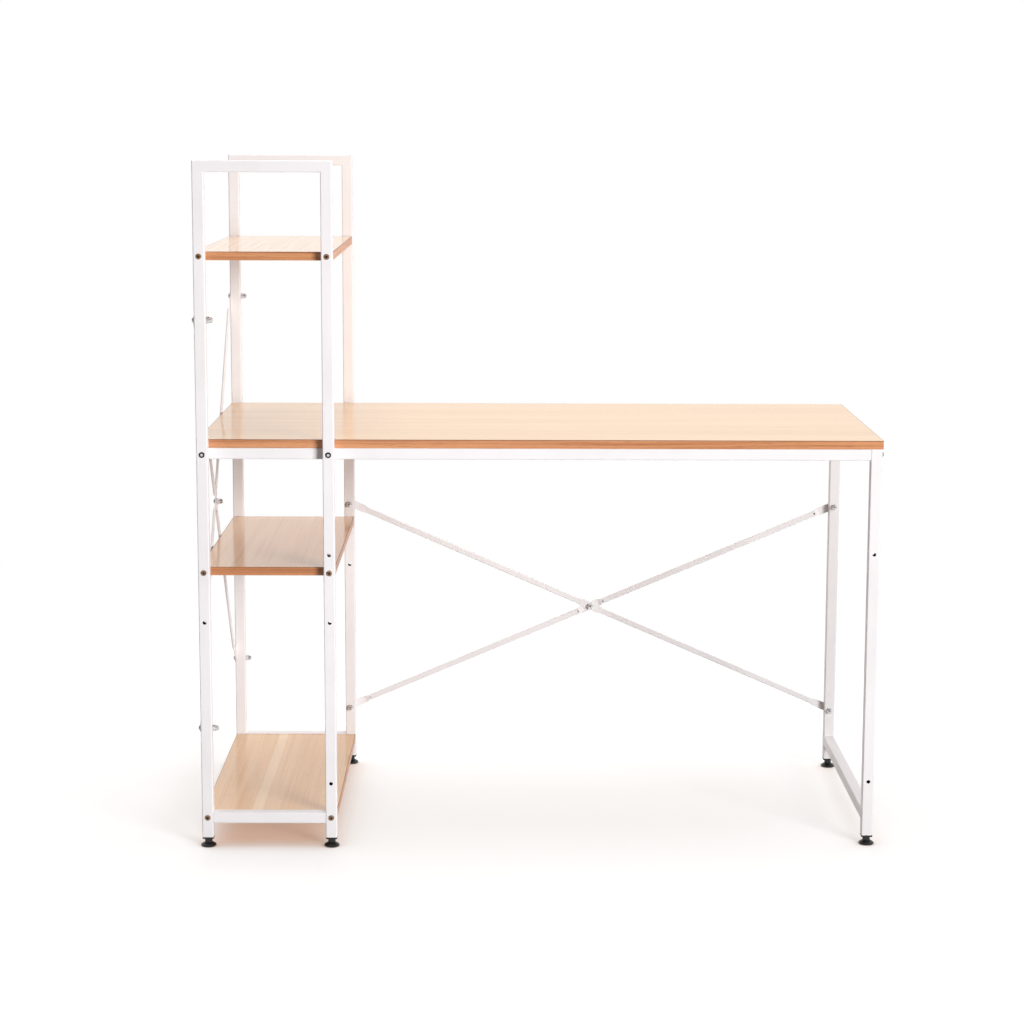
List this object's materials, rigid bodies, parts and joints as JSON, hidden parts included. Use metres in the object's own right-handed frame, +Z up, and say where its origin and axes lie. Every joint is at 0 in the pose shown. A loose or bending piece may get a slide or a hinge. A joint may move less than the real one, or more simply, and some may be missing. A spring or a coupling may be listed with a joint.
{
  "type": "desk with shelves",
  "caption": "Writing desk of white square steel tube with wood-look boards: a long desktop, an open shelf tower at its left end, crossed braces and levelling feet.",
  "frame": {"origin": "on the floor under the levelling feet, in the middle of the bounding box", "axes": "+X to the sitter's right, away from the tower; +Y from the sitter to the back; +Z up"},
  "size_m": [1.2074, 0.6076, 1.214],
  "materials": {
    "white_steel": "satin",
    "board": "satin",
    "edge_band": "satin",
    "brassed_bolt": "satin",
    "zinc": "satin",
    "bright_nut": "polished",
    "black_plastic": "matte",
    "white_plastic": "matte"
  },
  "bodies": {
    "desk": {"front_left_upright": "white_steel", "front_right_upright": "white_steel", "rear_left_upright": "white_steel", "rear_right_upright": "white_steel", "front_top_bar": "white_steel", "rear_top_bar": "white_steel", "front_bottom_bar": "white_steel", "rear_bottom_bar": "white_steel", "front_rail": "white_steel", "rear_rail": "white_steel", "leg_front_post": "white_steel", "leg_rear_post": "white_steel", "leg_top_bar": "white_steel", "leg_bottom_bar": "white_steel", "rear_falling_brace": "white_steel", "rear_rising_brace": "white_steel", "side_falling_brace": "white_steel", "side_rising_brace": "white_steel", "desktop": "board", "top_shelf": "board", "middle_shelf": "board", "bottom_shelf": "board", "desktop_edge_bands": "edge_band", "top_shelf_edge_bands": "edge_band", "middle_shelf_edge_bands": "edge_band", "bottom_shelf_edge_bands": "edge_band", "shelf_bolts": "brassed_bolt", "shelf_inserts": "zinc", "rail_bolts": "zinc", "rail_nuts": "zinc", "leg_bolts": "zinc", "rail_end_plates": "zinc", "rail_end_plugs": "white_plastic", "brace_bolts": "zinc", "brace_cap_nuts": "bright_nut", "brace_crossing_bolts": "zinc", "brace_crossing_nuts": "bright_nut", "desktop_screws": "zinc", "foot_sockets": "black_plastic"},
    "foot_front_left": {"foot_pad_front_left": "black_plastic", "foot_stud_front_left": "zinc"},
    "foot_front_right": {"foot_pad_front_right": "black_plastic", "foot_stud_front_right": "zinc"},
    "foot_rear_left": {"foot_pad_rear_left": "black_plastic", "foot_stud_rear_left": "zinc"},
    "foot_rear_right": {"foot_pad_rear_right": "black_plastic", "foot_stud_rear_right": "zinc"},
    "foot_leg_front": {"foot_pad_leg_front": "black_plastic", "foot_stud_leg_front": "zinc"},
    "foot_leg_rear": {"foot_pad_leg_rear": "black_plastic", "foot_stud_leg_rear": "zinc"}
  },
  "joints": [
    {"name": "foot_front_left_slide", "type": "slide", "parent": "desk", "child": "foot_front_left", "axis": [0, 0, -1], "range_m": [0, 0.012]},
    {"name": "foot_front_right_slide", "type": "slide", "parent": "desk", "child": "foot_front_right", "axis": [0, 0, -1], "range_m": [0, 0.012]},
    {"name": "foot_rear_left_slide", "type": "slide", "parent": "desk", "child": "foot_rear_left", "axis": [0, 0, -1], "range_m": [0, 0.012]},
    {"name": "foot_rear_right_slide", "type": "slide", "parent": "desk", "child": "foot_rear_right", "axis": [0, 0, -1], "range_m": [0, 0.012]},
    {"name": "foot_leg_front_slide", "type": "slide", "parent": "desk", "child": "foot_leg_front", "axis": [0, 0, -1], "range_m": [0, 0.012]},
    {"name": "foot_leg_rear_slide", "type": "slide", "parent": "desk", "child": "foot_leg_rear", "axis": [0, 0, -1], "range_m": [0, 0.012]}
  ]
}
